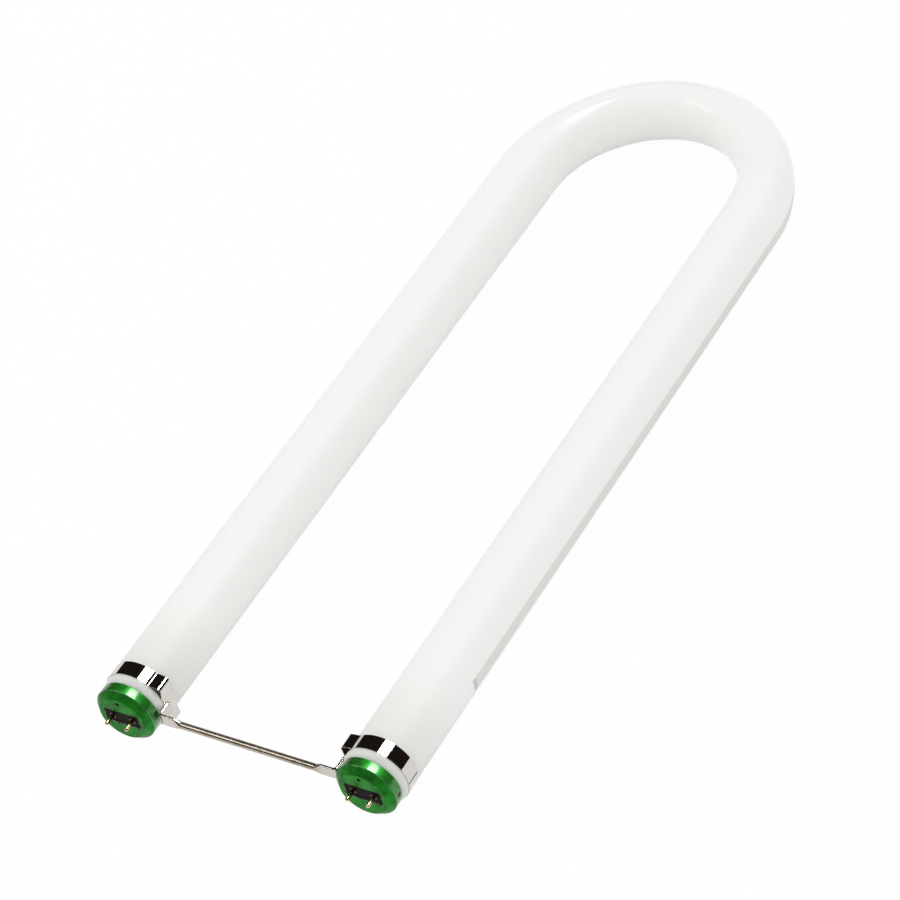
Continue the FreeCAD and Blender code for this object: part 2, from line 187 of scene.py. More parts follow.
class BraceSizes(PropertyGroup):
    """Sizes of the brace rod."""
    radius: length("Radius", "Radius of the round rod", mm(2))
    offset: length("Offset", "From the caps' faces to the rod's axis", mm(7.4))
    foot_thickness: length("Foot thickness", "Thickness of the flattened ends", mm(1.6))
    foot_height: length("Foot height", "Height of the flattened ends", BRACE_HIGH.z - BRACE_LOW.z)
    foot_bend: length("Foot bend", "Inside radius of the bend to the foot", mm(1.2))
    foot_flat: length("Foot flat", "Length of the flat part before the foot", mm(8))
    foot_taper: length("Foot taper", "Length of the change from round to flat", mm(5))
    tip_round: length("Tip round", "Round of the foot's corners", mm(2))
    edge_round: length("Edge round", "Round of the flattened edges", mm(0.55))


class StageSizes(PropertyGroup):
    """Place of the camera and level of the studio's light."""
    turn: angle("Turn", "Turn of the camera about the vertical", 38.57)
    rise: angle("Rise", "Height of the camera over the horizon", 42.92)
    roll: angle("Roll", "Roll of the camera", -13.96)
    distance: length("Distance", "From the camera to the point that it looks at", 2.0263)
    target: held(
        FloatVectorProperty, "Target", "Point that the camera looks at",
        (mm(-4.66), mm(-41.52), mm(19.6)), size=3, subtype="XYZ", unit="LENGTH")
    lens: level("Lens", "Focal length in millimetres", 142.78, unit="CAMERA")
    sky: level("Sky", "Strength of the even studio light", 0.925)
    key: level("Key", "Power of the soft lamp in watts", 5.0)
    panel: level("Panel", "Strength of the main light in reflections", 20.0)
    fill: level("Fill", "Strength of the side light in reflections", 6.0)
    glow: level("Glow", "Strength of the front card in reflections", 0.8)
    lift: level("Lift", "How far the floor is lifted to white", 0.965, max=1)


class Finishes(PropertyGroup):
    """Colours of the finishes."""
    glass: colour("Glass", "White coat behind the glass", "F3F4F1")
    glass_end: colour("Glass end", "White coat near the caps", "E6E7E3")
    # A grey stripe is painted along the outside of the U, darker where it starts near the caps.
    stripe: colour("Stripe", "Grey stripe along the outside of the U", "DFDFDB")
    stripe_end: colour(
        "Stripe end", "Ends of the grey stripe, where it was laid on thicker", "C9C9C7")
    # Painted shade: the glass under each band is darkened so that the band's seam shows dark.
    seam_shade: colour("Glass rub", "Metal rubbed off on the glass under the bands", "5F564E")
    green: colour("Green", "Lacquer of the caps", "1E8A1F")
    green_thick: colour("Thick green", "Lacquer of the caps where it lies thicker", "156B17")
    # Bare metal on the window's cut, and the paler pressed edge: partly thin lacquer, partly a
    # painted highlight.
    bare_and_sheen: colour("Bare aluminium", "Caps where the lacquer is thin or cut through", "C8D2C6")
    phenolic: colour("Phenolic", "Insulator plates", "140F0D")
    phenolic_flow: colour("Phenolic flow", "Flow marks of the insulator plates", "1F1713")
    # Painted shade, with some dirt, in the stake marks and their vents.
    stake_shade_and_dirt: colour("Stake dirt", "Dirt in the stake marks of the caps", "0B1F0C")
    brass: colour("Brass", "Contact pins", "DECB9E")
    brass_dull: colour("Dull brass", "Handled places of the contact pins", "9A8156")
    brass_dark: colour(
        "Dark brass", "Foot of the contact pins, which no socket wipes clean", "33271A")
    plating: colour("Plating", "Clip bands", "D2CEC8")
    nickel: colour("Nickel", "Brace rod", "B9AFA0")
    nickel_dull: colour("Dull nickel", "Dull places of the brace rod", "8C8174")
    nickel_pressed: colour(
        "Pressed nickel", "Flattened ends of the brace rod, burnished by the press", "CBC6BF")
    cement: colour("Cement", "Basing cement", "A5492E")
    cement_grain: colour("Cement grain", "Grains in the basing cement", "5C2A1C")
    wire: colour("Wire", "Lead wires", "B98A66")
    floor: colour("Floor", "Studio floor", "F7F7F7")
    dark_card: colour("Dark card", "Cards that give the metal its dark reflections", "1F1A18")
    white_card: colour("White card", "Cards that give the metal its bright reflections", "FFFFFF")


def node(tree, kind, inputs=None, **settings):
    """Add a node, set its settings, and set its sockets or link them to other nodes."""
    made = tree.nodes.new(kind)
    for name, setting in settings.items():
        setattr(made, name, setting)
    for key, given in (inputs or {}).items():
        named = [socket for socket in made.inputs if socket.enabled and socket.name == key]
        socket = named[0] if named else made.inputs[key]
        if isinstance(given, bpy.types.Node):
            given = next(output for output in given.outputs if output.enabled)
        if isinstance(given, bpy.types.NodeSocket):
            tree.links.new(given, socket)
        else:
            socket.default_value = given
    return made


def cleared(block):
    """The node tree of a new material or world, emptied."""
    block.use_nodes = True
    block.node_tree.nodes.clear()
    return block.node_tree


def new_material(name):
    """An empty material, a function that adds a node to it, and its Object coordinates."""
    material = bpy.data.materials.new(name)
    add = partial(node, cleared(material))
    return material, add, add("ShaderNodeTexCoord").outputs["Object"]


def surfaced(material, sockets):
    """The material, ended in a principled shader with these sockets."""
    add = partial(node, material.node_tree)
    add("ShaderNodeOutputMaterial", {"Surface": add("ShaderNodeBsdfPrincipled", sockets)})
    return material


def marks(add, place, size, detail=1.0):
    """Marks of no fixed shape, as long along X, Y and Z as the size says in millimetres."""
    fitted = add("ShaderNodeMapping", {
        "Vector": place, "Scale": [1 / mm(side) for side in size]})
    return add("ShaderNodeTexNoise", {"Vector": fitted, "Scale": 1.0, "Detail": detail})


def lined_metal(add, place, size, rough, strength, depth, detail=1.0, **under):
    """Roughness and bump that drawing, rolling or turning lines, so many mm deep, give a metal."""
    lines = marks(add, place, size, detail)
    smoothest, roughest = rough
    return {
        "Roughness": add(MAP_RANGE, {
            "Value": lines, "To Min": smoothest, "To Max": roughest}),
        "Normal": add(BUMP, {
            "Height": lines, "Strength": strength, "Distance": mm(depth), **under})}


def tinted(add, pattern, main, other, levels=(0, 1), most=1.0):
    """A colour that turns to another, at most so far, as the pattern goes between two levels."""
    first, full = levels
    share = add(MAP_RANGE, {
        "Value": pattern, "From Min": first, "From Max": full, "To Max": most})
    return add("ShaderNodeMix", {"Factor": share, "A": main, "B": other}, data_type="RGBA")


def coated_glass(finishes, tube, bend_start):
    """Soda-lime tube, drawn and bent, with a white phosphor coat inside.

    To the eye: a soft white body, a little greyer near the caps, satin with faint draw lines along
    the legs and clear gloss in the bend, where the flame polished it, with a thin grey stripe on
    the outside of the U, darker at its start, and the glass under each band painted dark as the
    shade in the band's seam.
    """
    material, add, place = new_material("phosphor_coated_soda_lime_glass")
    axis = add(SEPARATE, {"Vector": place}).outputs
    along = axis["Y"]
    grey_start, grey_full, clouding = CAP_HIGH.y + mm(75), CAP_HIGH.y + mm(8), 0.16
    near_end = add(MAP_RANGE, {
        "Value": along, "From Min": grey_start, "From Max": grey_full},
        interpolation_type="SMOOTHSTEP")
    cloudy = add(MATH, {
        0: marks(add, place, (28, 28, 28), detail=2.0), 1: clouding, 2: -clouding / 2},
        operation="MULTIPLY_ADD")
    share = add(MATH, {0: near_end, 1: cloudy}, operation="ADD", use_clamp=True)
    body = tinted(add, share, finishes.glass, finishes.glass_end)
    # The stripe lies past the tube's axis, seen from the middle of the U, at a height of its own.
    past = add(MATH, {0: along, 1: bend_start}, operation="SUBTRACT")
    into_bend = add(MATH, {0: past, 1: 0.0}, operation="MAXIMUM")
    plan = add("ShaderNodeCombineXYZ", {"X": axis["X"], "Y": into_bend})
    scaled = add(VECTOR_MATH, {
        0: plan, 1: (1 / LEG_X, 1 / tube.bend_depth, 0)}, operation="MULTIPLY")
    reach = add(VECTOR_MATH, {0: scaled}, operation="LENGTH")
    outside = add(MATH, {0: reach, 1: 1.0}, operation="GREATER_THAN")
    begin, half = CAP_LOW.y + tube.stripe_start, tube.stripe_width / 2
    first = AXIS_Z + tube.stripe_top - half
    middle = add(MAP_RANGE, {
        "Value": along, "From Min": begin, "From Max": bend_start,
        "To Min": first, "To Max": first - tube.stripe_fall})
    at_height = add(MATH, {0: axis["Z"], 1: middle, 2: half}, operation="COMPARE")
    begun = add(MATH, {0: along, 1: begin}, operation="GREATER_THAN")
    beyond = add(MATH, {0: outside, 1: begun}, operation="MULTIPLY")
    striped = add(MATH, {0: beyond, 1: at_height}, operation="MULTIPLY")
    # The stripe is painted darker over its first 2 to 4 mm.
    start_fade = begin + mm(2), begin + mm(4)
    stripe = tinted(add, along, finishes.stripe_end, finishes.stripe, start_fade)
    lined = tinted(add, striped, body, stripe)
    # Painted shade: the glass under each band is darkened to stand for the shade down in the band's
    # seam.
    seam_shade_width = BAND_HIGH.y - BAND_LOW.y - mm(0.4)
    under = add(MATH, {
        0: along, 1: (BAND_LOW.y + BAND_HIGH.y) / 2, 2: seam_shade_width / 2}, operation="COMPARE")
    satin, neck_gloss, flame_polish = 0.5, 0.15, 0.08
    flame_start, flame_full = bend_start + mm(20), bend_start + mm(62)
    bent = add(MAP_RANGE, {
        "Value": along, "From Min": flame_start, "From Max": flame_full,
        "To Min": satin, "To Max": flame_polish})
    neck = add(MAP_RANGE, {
        "Value": along, "From Min": BAND_LOW.y, "From Max": BAND_HIGH.y,
        "To Min": neck_gloss, "To Max": satin})
    wavy = add(BUMP, {
        "Height": marks(add, place, (7, 160, 7)), "Strength": 0.06, "Distance": mm(0.12)})
    return surfaced(material, {
        "Base Color": tinted(add, under, lined, finishes.seam_shade),
        "IOR": 1.52, "Specular IOR Level": 0.1, "Normal": wavy,
        "Roughness": add(MATH, {0: bent, 1: neck}, operation="MINIMUM"),
        "Subsurface Weight": 0.35, "Subsurface Radius": (1.0, 1.0, 1.0),
        "Subsurface Scale": mm(22)})


def green_aluminium(finishes, cap):
    """Pressed aluminium under a clear green lacquer.

    To the eye: a metal green, satin on the face and bright on the turned skirt, darker where the
    lacquer lies thicker, paler along the pressed edge, where the lacquer is a little thin and a
    highlight is painted, bare on the window's cut, with painted shade and dirt darkening the stake
    mark, and turning marks round the axis.
    """
    material, add, place = new_material("green_lacquered_aluminium")
    axis = add(SEPARATE, {"Vector": place}).outputs
    across, height = add(MATH, {0: axis["X"]}, operation="ABSOLUTE"), axis["Z"]
    off_edge = add(MATH, {
        0: axis["Y"], 1: CAP_LOW.y + cap.chamfer_depth}, operation="SUBTRACT")
    near_edge = add(MATH, {0: off_edge}, operation="ABSOLUTE")
    # Along the pressed edge the lacquer is painted paler: partly lacquer run thin, partly a painted
    # highlight of the rounded edge.
    edge_width, edge_pale_share, cut_width = mm(0.35), 0.2, mm(0.02)
    thin_and_sheen = add(MAP_RANGE, {
        "Value": near_edge, "From Max": edge_width, "To Min": edge_pale_share, "To Max": 0.0})
    wide, tall = [
        add(MATH, {0: way, 1: middle, 2: size / 2 + cut_width}, operation="COMPARE")
        for way, middle, size in (
            (across, LEG_X, cap.window_width), (height, AXIS_Z, cap.window_height))]
    cut = add(MATH, {0: wide, 1: tall}, operation="MULTIPLY")
    bare_and_sheen = add(MATH, {0: cut, 1: thin_and_sheen}, operation="MAXIMUM")
    pooled = add("ShaderNodeTexNoise", {
        "Vector": place, "Scale": 1 / mm(5), "Detail": 3.0, "Roughness": 0.6})
    lacquer = tinted(add, pooled, finishes.green, finishes.green_thick, levels=(0.42, 0.62))
    coated = tinted(add, bare_and_sheen, lacquer, finishes.bare_and_sheen)
    face = add("ShaderNodeCombineXYZ", {"X": across, "Z": height})
    # Painted shade, with some dirt: the stake mark and its vent are darkened, most in their middle.
    stake = add(VECTOR_MATH, {
        0: face, 1: (LEG_X, 0, AXIS_Z + cap.stake_height)}, operation="DISTANCE")
    shade_reach = cap.stake_radius * 1.1, cap.stake_radius * 0.75
    body = tinted(add, stake, coated, finishes.stake_shade_and_dirt, shade_reach, most=0.9)
    face_coat, skirt_coat = 0.05, 1.0
    bright = add(MAP_RANGE, {
        "Value": off_edge, "From Min": mm(-0.4), "From Max": mm(0.2),
        "To Min": face_coat, "To Max": skirt_coat})
    # Turning marks are about 0.1 mm apart; 0.35 mm is the finest that shows.
    turned = lined_metal(
        add, place, size=(9, 0.35, 9), rough=(0.46, 0.56), strength=0.1, depth=0.03)
    return surfaced(material, {
        "Base Color": body, "Metallic": 0.8, "Coat Weight": bright, "Coat Roughness": 0.17,
        "Coat IOR": 1.5, **turned})


def black_phenolic(finishes):
    """Moulded phenolic with wood-flour filler.

    To the eye: brown-black, satin, with faint flow marks and a fine tooth.
    """
    material, add, place = new_material("moulded_phenolic")
    flow = marks(add, place, (6, 2, 2), detail=4.0)
    tooth = marks(add, place, (0.3, 0.3, 0.3), detail=2.0)
    return surfaced(material, {
        "Base Color": tinted(
            add, flow, finishes.phenolic, finishes.phenolic_flow, levels=(0.45, 0.7)),
        "Roughness": 0.6, "IOR": 1.6, "Specular IOR Level": 0.08,
        "Normal": add(BUMP, {
            "Height": tooth, "Strength": 0.2, "Distance": mm(0.03)})})


def drawn_brass(finishes):
    """Drawn brass tube with a closed tip.

    To the eye: pale gold with draw lines along the pin, duller where handling has tarnished it,
    brown at its foot.
    """
    material, add, place = new_material("drawn_brass")
    tarnish = marks(add, place, (2.2, 2.2, 2.2), detail=3.0)
    clean = tinted(add, tarnish, finishes.brass, finishes.brass_dull, levels=(0.45, 0.75))
    along = add(SEPARATE, {"Vector": place}).outputs["Y"]
    foot = CAP_LOW.y - mm(3.5), CAP_LOW.y - mm(0.5)
    drawn = lined_metal(
        add, place, size=(0.3, 5, 0.3), rough=(0.14, 0.3), strength=0.15, depth=0.03)
    return surfaced(material, {
        "Base Color": tinted(add, along, clean, finishes.brass_dark, foot, most=0.92),
        "Metallic": 1.0, **drawn})


def bright_plating(finishes):
    """Bright nickel and chrome plate on cold-rolled steel strip.

    To the eye: a dark-and-white mirror, a little wavy as thin strip is, with rolling lines on it.
    """
    material, add, place = new_material("bright_plated_steel_strip")
    sheet = marks(add, place, (6, 6, 6), detail=0.0)
    wavy = add(BUMP, {"Height": sheet, "Strength": 0.25, "Distance": mm(0.12)})
    rolled = lined_metal(
        add, place, size=(9, 0.4, 9), rough=(0.02, 0.07), strength=0.05, depth=0.02, Normal=wavy)
    return surfaced(material, {"Base Color": finishes.plating, "Metallic": 1.0, **rolled})


def nickel_wire(finishes):
    """Drawn steel wire with dull nickel plate.

    To the eye: beige grey, softly bright, with draw lines along the rod, a few dull patches and
    burnished ends.
    """
    material, add, place = new_material("nickel_plated_steel_wire")
    dull = marks(add, place, (8, 8, 8), detail=4.0)
    plain = tinted(add, dull, finishes.nickel, finishes.nickel_dull, levels=(0.45, 0.75))
    across = add(SEPARATE, {"Vector": place}).outputs["X"]
    outward = add(MATH, {0: across}, operation="ABSOLUTE")
    press_start, press_full = BRACE_HIGH.x - mm(13), BRACE_HIGH.x - mm(9)
    pressed = add(MAP_RANGE, {
        "Value": outward, "From Min": press_start, "From Max": press_full})
    body = tinted(add, pressed, plain, finishes.nickel_pressed)
    drawn = lined_metal(add, place, size=(20, 0.35, 0.35), rough=(0.24, 0.34), strength=0.1,
                        depth=0.03, detail=2.0)
    burnished = 0.08
    drawn["Roughness"] = add("ShaderNodeMix", {
        "Factor": pressed, "A": drawn["Roughness"], "B": burnished})
    return surfaced(material, {"Base Color": body, "Metallic": 1.0, **drawn})


def basing_cement(finishes):
    """Cured resin cement with marble filler.

    To the eye: matt red-brown, with small darker grains and an uneven surface.
    """
    material, add, place = new_material("cured_basing_cement")
    grains = add("ShaderNodeTexVoronoi", {"Vector": place, "Scale": 1 / mm(0.7)})
    return surfaced(material, {
        "Base Color": tinted(
            add, grains, finishes.cement, finishes.cement_grain, levels=(0.2, 0.6)),
        "Roughness": 0.85, "IOR": 1.5,
        "Normal": add(BUMP, {
            "Height": grains, "Strength": 0.5, "Distance": mm(0.15)})})


def lead_wire(finishes):
    """Copper-clad lead wire.

    To the eye: dull copper with draw lines along the wire.
    """
    material, add, place = new_material("copper_clad_lead_wire")
    drawn = lined_metal(
        add, place, size=(0.2, 4, 0.2), rough=(0.3, 0.5), strength=0.2, depth=0.02)
    return surfaced(material, {"Base Color": finishes.wire, "Metallic": 1.0, **drawn})


def spread(start, end, steps):
    """Even steps from start to end, with both."""
    return [start + (end - start) * step / steps for step in range(steps + 1)]


def rounded_path(corners, steps=6):
    """Points along straight runs, with an arc at each corner (x, y, radius) that has a radius."""
    points = []
    for index, (x, y, radius) in enumerate(corners):
        corner = Vector((x, y))
        if not radius:
            points.append(corner)
            continue
        before = (Vector(corners[index - 1][:2]) - corner).normalized()
        after = (Vector(corners[(index + 1) % len(corners)][:2]) - corner).normalized()
        half = before.angle(after) / 2
        middle = corner + (before + after).normalized() * radius / sin(half)
        start = corner + before * radius / tan(half) - middle
        end = corner + after * radius / tan(half) - middle
        turns = spread(0, -start.angle_signed(end), steps)
        points += [middle + Matrix.Rotation(turn, 2) @ start for turn in turns]
    return points


def offset_path(points, distance):
    """The corners of a path of straight runs, moved to its left."""
    moved = []
    for index, point in enumerate(points):
        last, following = points[max(index - 1, 0)], points[min(index + 1, len(points) - 1)]
        sides = [Vector((last.y - point.y, point.x - last.x)),
                 Vector((point.y - following.y, following.x - point.x))]
        sides = [side.normalized() for side in sides if side.length]
        across = sum(sides, Vector((0, 0))).normalized()
        moved.append(point + across * distance / across.dot(sides[0]))
    return moved


def placed(name, data):
    """A new object of the data, in the scene."""
    thing = bpy.data.objects.new(name, data)
    bpy.context.scene.collection.objects.link(thing)
    return thing


def route_object(name, points, radii):
    """A curve of straight runs, with a radius at each point, for Geometry Nodes to follow."""
    curve = bpy.data.curves.new(name, "CURVE")
    curve.dimensions = "3D"
    spline = curve.splines.new("POLY")
    spline.points.add(len(points) - 1)
    for spot, point, radius in zip(spline.points, points, radii):
        spot.co = (*point, 1)
        spot.radius = radius
    return placed(name, curve)


def new_tree(name, inputs):
    """A Geometry Nodes tree, a function that adds a node to it, and its named inputs."""
    tree = bpy.data.node_groups.new(name, "GeometryNodeTree")
    for label, kind in {"Geometry": "Geometry", **inputs, "Material": "Material"}.items():
        tree.interface.new_socket(label, in_out="INPUT", socket_type=f"NodeSocket{kind}")
    tree.interface.new_socket("Geometry", in_out="OUTPUT", socket_type="NodeSocketGeometry")
    add = partial(node, tree)
    return tree, add, add("NodeGroupInput").outputs


def end_tree(add, geometry, material):
    """End a tree in smooth, real geometry with its material."""
    smooth = add("GeometryNodeSetShadeSmooth", {"Geometry": geometry})
    real = add("GeometryNodeRealizeInstances", {"Geometry": smooth})
    dressed = add("GeometryNodeSetMaterial", {"Geometry": real, "Material": material})
    add("NodeGroupOutput", {"Geometry": dressed})


def round_section(add, route, sides):
    """A body on a route, round and as wide as the route's radius."""
    ring = add("GeometryNodeCurvePrimitiveCircle", {"Resolution": sides, "Radius": 1.0})
    return add("GeometryNodeCurveToMesh", {
        "Curve": route, "Profile Curve": ring, "Scale": add("GeometryNodeInputRadius"),
        "Fill Caps": True})


def tube_tree():
    """Tree that bends a round tube along a route and draws its sides in where the route bends."""
    tree, add, given = new_tree("tube_on_route", {
        "Sides": "Int", "Bend Start": "Float", "Draw Length": "Float", "Draw Share": "Float"})
    place = add("GeometryNodeInputPosition").outputs["Position"]
    kept = add("GeometryNodeCaptureAttribute", {"Geometry": given["Geometry"]})
    kept.capture_items.new("VECTOR", "Centre")
    tree.links.new(place, kept.inputs["Centre"])
    body = round_section(add, kept.outputs["Geometry"], given["Sides"])
    along = add(SEPARATE, {"Vector": kept.outputs["Centre"]}).outputs["Y"]
    full = add(MATH, {
        0: given["Bend Start"], 1: given["Draw Length"]}, operation="ADD")
    share = add(MAP_RANGE, {
        "Value": along, "From Min": given["Bend Start"], "From Max": full, "To Min": 1.0,
        "To Max": given["Draw Share"]}, interpolation_type="SMOOTHSTEP")
    squeeze = add("ShaderNodeCombineXYZ", {"X": share, "Y": share, "Z": 1.0})
    reach = add(VECTOR_MATH, {0: place, 1: kept.outputs["Centre"]}, operation="SUBTRACT")
    drawn = add(VECTOR_MATH, {
        0: reach, 1: squeeze, 2: kept.outputs["Centre"]}, operation="MULTIPLY_ADD")
    moved = add("GeometryNodeSetPosition", {"Geometry": body, "Position": drawn})
    end_tree(add, moved, given["Material"])
    return tree


def strip_tree():
    """Tree that puts a flat strip with rounded edges along a route."""
    tree, add, given = new_tree("strip_on_route", {
        "Width": "Float", "Thickness": "Float", "Edge Round": "Float"})
    section = add("GeometryNodeCurvePrimitiveQuadrilateral", {
        "Width": given["Width"], "Height": given["Thickness"]})
    rounded = add("GeometryNodeFilletCurve", {
        "Curve": section, "Count": 3, "Radius": given["Edge Round"], "Limit Radius": True},
        mode="POLY")
    body = add("GeometryNodeCurveToMesh", {
        "Curve": given["Geometry"], "Profile Curve": rounded, "Fill Caps": True})
    end_tree(add, body, given["Material"])
    return tree


def pins_tree():
    """Tree that turns one pin from its outline and sets a copy at each place."""
    tree, add, given = new_tree("pins_at_places", {"Outline": "Object", "Sides": "Int"})
    outline = add("GeometryNodeObjectInfo", {"Object": given["Outline"]}).outputs["Geometry"]
    pin = round_section(add, outline, given["Sides"])
    places = add("GeometryNodeMeshToPoints", {"Mesh": given["Geometry"]})
    pins = add("GeometryNodeInstanceOnPoints", {"Points": places, "Instance": pin})
    end_tree(add, pins, given["Material"])
    return tree


def plain_mesh(host, name):
    """The mesh that an object's modifiers make, as a mesh of its own."""
    depsgraph = bpy.context.evaluated_depsgraph_get()
    mesh = bpy.data.meshes.new_from_object(host.evaluated_get(depsgraph), depsgraph=depsgraph)
    mesh.name = name
    if not mesh.polygons:
        raise RuntimeError(f"{name} came out empty")
    return mesh


def grown(host, tree, name, values):
    """The plain mesh that a tree makes on a host object, which is then removed."""
    modifier = host.modifiers.new(tree.name, "NODES")
    modifier.node_group = tree
    items = [item for item in tree.interface.items_tree if item.in_out == "INPUT"]
    sockets = {item.name: item.identifier for item in items}
    for label, value in values.items():
        modifier[sockets[label]] = value
    mesh = plain_mesh(host, name)
    host.modifiers.remove(modifier)
    bpy.data.objects.remove(host)
    return mesh


def closed(mesh, sharp_degrees):
    """Merge the doubles of a closed mesh, turn its faces outwards and mark its sharp edges."""
    work = bmesh.new()
    work.from_mesh(mesh)
    bmesh.ops.remove_doubles(work, verts=work.verts, dist=SAME_PLACE)
    bmesh.ops.dissolve_degenerate(work, edges=work.edges, dist=NO_LENGTH)
    bmesh.ops.recalc_face_normals(work, faces=work.faces)
    if any(not edge.is_manifold for edge in work.edges):
        raise RuntimeError(f"{mesh.name} isn't closed")
    work.to_mesh(mesh)
    work.free()
    mesh.shade_smooth()
    mesh.set_sharp_from_angle(angle=radians(sharp_degrees))
    return mesh


def ring_mesh(name, rings, cyclic):
    """A mesh of quads between rings of as many points each, closed on itself or with flat ends."""
    work = bmesh.new()
    loops = [[work.verts.new(point) for point in ring] for ring in rings]
    pairs = list(zip(loops, loops[1:]))
    if cyclic:
        pairs.append((loops[-1], loops[0]))
    for here, there in pairs:
        for index in range(len(here)):
            work.faces.new((here[index - 1], here[index], there[index], there[index - 1]))
    if not cyclic:
        work.faces.new(loops[0])
        work.faces.new(loops[-1])
    mesh = bpy.data.meshes.new(name)
    work.to_mesh(mesh)
    work.free()
    return mesh


def add_piece(name, mesh, slot, *nodes):
    """Link a finished mesh to the scene, as the piece that stands for the named nodes."""
    piece = placed(name, mesh)
    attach(piece, "root")
    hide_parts(*nodes)


class BULB_OT_glass_tube(Operator):
    """Bend the white glass tube along its route, with a shoulder and a neck at each end"""
    bl_idname = "bulb.glass_tube"
    bl_label = "Glass tube"

    def execute(self, context):
        tube = context.scene.bulb_tube
        start = CAP_HIGH.y - tube.shoulder_tuck
        bend_start = GLASS_HIGH.y - tube.bend_depth - tube.bend_half_width
        outline = rounded_path([
            (GLASS_LOW.y, tube.neck_radius, 0), (start, tube.neck_radius, tube.neck_round),
            (start + tube.shoulder_length, tube.radius, tube.shoulder_round),
            (bend_start, tube.radius, 0)])
        straight = outline[-2].x
        rings = round((bend_start - straight) / tube.ring_gap)
        leg = outline[:-2] + [Vector((y, tube.radius)) for y in spread(straight, bend_start, rings)]
        leg.pop()
        turns = spread(pi, 0, tube.bend_rings)
        bend = [(LEG_X * cos(turn), bend_start + tube.bend_depth * sin(turn))
                for turn in turns]
        plan = [(-LEG_X, y) for y, radius in leg] + bend + [(LEG_X, y) for y, radius in leg[::-1]]
        necks = [radius for y, radius in leg]
        radii = necks + [tube.radius] * len(bend) + necks[::-1]
        points = [(x, y, AXIS_Z) for x, y in plan]
        mesh = grown(route_object("tube_route", points, radii), tube_tree(), "glass_tube", {
            "Sides": tube.sides, "Bend Start": bend_start, "Draw Length": tube.draw_length,
            "Draw Share": tube.bend_half_width / tube.radius,
            "Material": coated_glass(context.scene.bulb_finishes, tube, bend_start)})
        add_piece("glass_tube", closed(mesh, sharp_degrees=40), "coated_glass", "glass_envelope")
        return {"FINISHED"}


class BULB_OT_end_caps(Operator):
    """Press the green end caps, with window, stake mark, vent and peep hole"""
    bl_idname = "bulb.end_caps"
    bl_label = "End caps"

    def window_ring(self, cap, grow):
        """Points round the window, grown by a margin: some at each corner, more along the sides."""
        corner_points = 8
        width, height = cap.window_width / 2 + grow, cap.window_height / 2 + grow
        corners = rounded_path([(x, z, cap.window_round + grow) for x, z in (
            (width, -height), (width, height), (-width, height), (-width, -height))],
            steps=corner_points - 1)
        side_steps = (cap.end_steps, cap.side_steps)
        ring = []
        for index, point in enumerate(corners):
            following = corners[(index + 1) % len(corners)]
            corner, place = divmod(index, corner_points)
            steps = side_steps[corner % 2] if place == corner_points - 1 else 1
            ring += [point.lerp(following, step / steps) for step in range(steps)]
        return ring

    def outline(self, cap):
        """Section of the sheet, from the face over chamfer, skirt and rim to the inside."""
        face_radius = cap.radius - cap.chamfer_width
        slope = cap.chamfer_width / cap.chamfer_depth
        secant = hypot(1, slope)
        inner_radius = cap.radius - cap.wall
        inner_face = face_radius + cap.wall * (slope - secant)
        inner_skirt = cap.chamfer_depth + cap.wall * (secant - 1) / slope
        inner_round = max(cap.edge_round - cap.wall, mm(0.15))
        return rounded_path([
            (face_radius - 2 * cap.edge_round, 0, 0), (face_radius, 0, cap.edge_round),
            (cap.radius, cap.chamfer_depth, cap.edge_round),
            (cap.radius, cap.depth, cap.rim_round), (inner_radius, cap.depth, cap.rim_round),
            (inner_radius, inner_skirt, inner_round), (inner_face, cap.wall, inner_round),
            (inner_face - cap.edge_round, cap.wall, 0)])

    def cutter(self, cap, centre, side):
        """Round bodies of the stake mark, the vent and the peep hole, half of each in the sheet."""
        stake = centre + Vector((0, 0, cap.stake_height))
        peep = centre + Vector((side * cap.radius, (cap.chamfer_depth + cap.depth) / 2, 0))
        stake_taper, through, hole_sides = 0.85, 4 * cap.wall, 40
        work = bmesh.new()
        for spot, way, radius, tip, depth in (
                (stake, "X", cap.stake_radius, cap.stake_radius * stake_taper, 2 * cap.stake_depth),
                (stake, "X", cap.vent_radius, cap.vent_radius, through),
                (peep, "Y", cap.peep_radius, cap.peep_radius, through)):
            place = Matrix.Translation(spot) @ Matrix.Rotation(pi / 2, 4, way)
            bmesh.ops.create_cone(work, cap_ends=True, segments=hole_sides, radius1=tip,
                                  radius2=radius, depth=depth, matrix=place)
        mesh = bpy.data.meshes.new("cap_cutter")
        work.to_mesh(mesh)
        work.free()
        return mesh

    def execute(self, context):
        cap = context.scene.bulb_cap
        material = green_aluminium(context.scene.bulb_finishes, cap)
        window = self.window_ring(cap, 0)
        turns = [atan2(point.y, point.x) for point in window]
        rings = [[(r * cos(turn), y, r * sin(turn)) for turn in turns]
                 for r, y in self.outline(cap)]
        rings.append([(p.x, cap.wall, p.y) for p in window])
        lip_steps = 4
        for lip in spread(0, pi / 2, lip_steps):
            lip_ring = self.window_ring(cap, cap.window_lip * (1 - cos(lip)))
            rings.append([(p.x, cap.window_lip * (1 - sin(lip)), p.y) for p in lip_ring])
        for label, side in SIDES.items():
            name = f"{label}_pressed_cap"
            centre = Vector((side * LEG_X, CAP_LOW.y, AXIS_Z))
            sheet = [[centre + Vector(point) for point in ring] for ring in rings]
            solid = closed(ring_mesh("cap_blank", sheet, cyclic=True), sharp_degrees=30)
            blank = placed("cap_blank", solid)
            tool = placed("cap_tool", self.cutter(cap, centre, side))
            holes = blank.modifiers.new("holes", "BOOLEAN")
            holes.object = tool
            holes.operation = "DIFFERENCE"
            holes.solver = "EXACT"
            holes.use_self = True
            mesh = plain_mesh(blank, name)
            for thing in (blank, tool):
                bpy.data.objects.remove(thing)
            mesh.materials.clear()
            mesh.materials.append(material)
            add_piece(name, closed(mesh, sharp_degrees=30), "green_aluminium", f"{label}_end_cap")
        return {"FINISHED"}


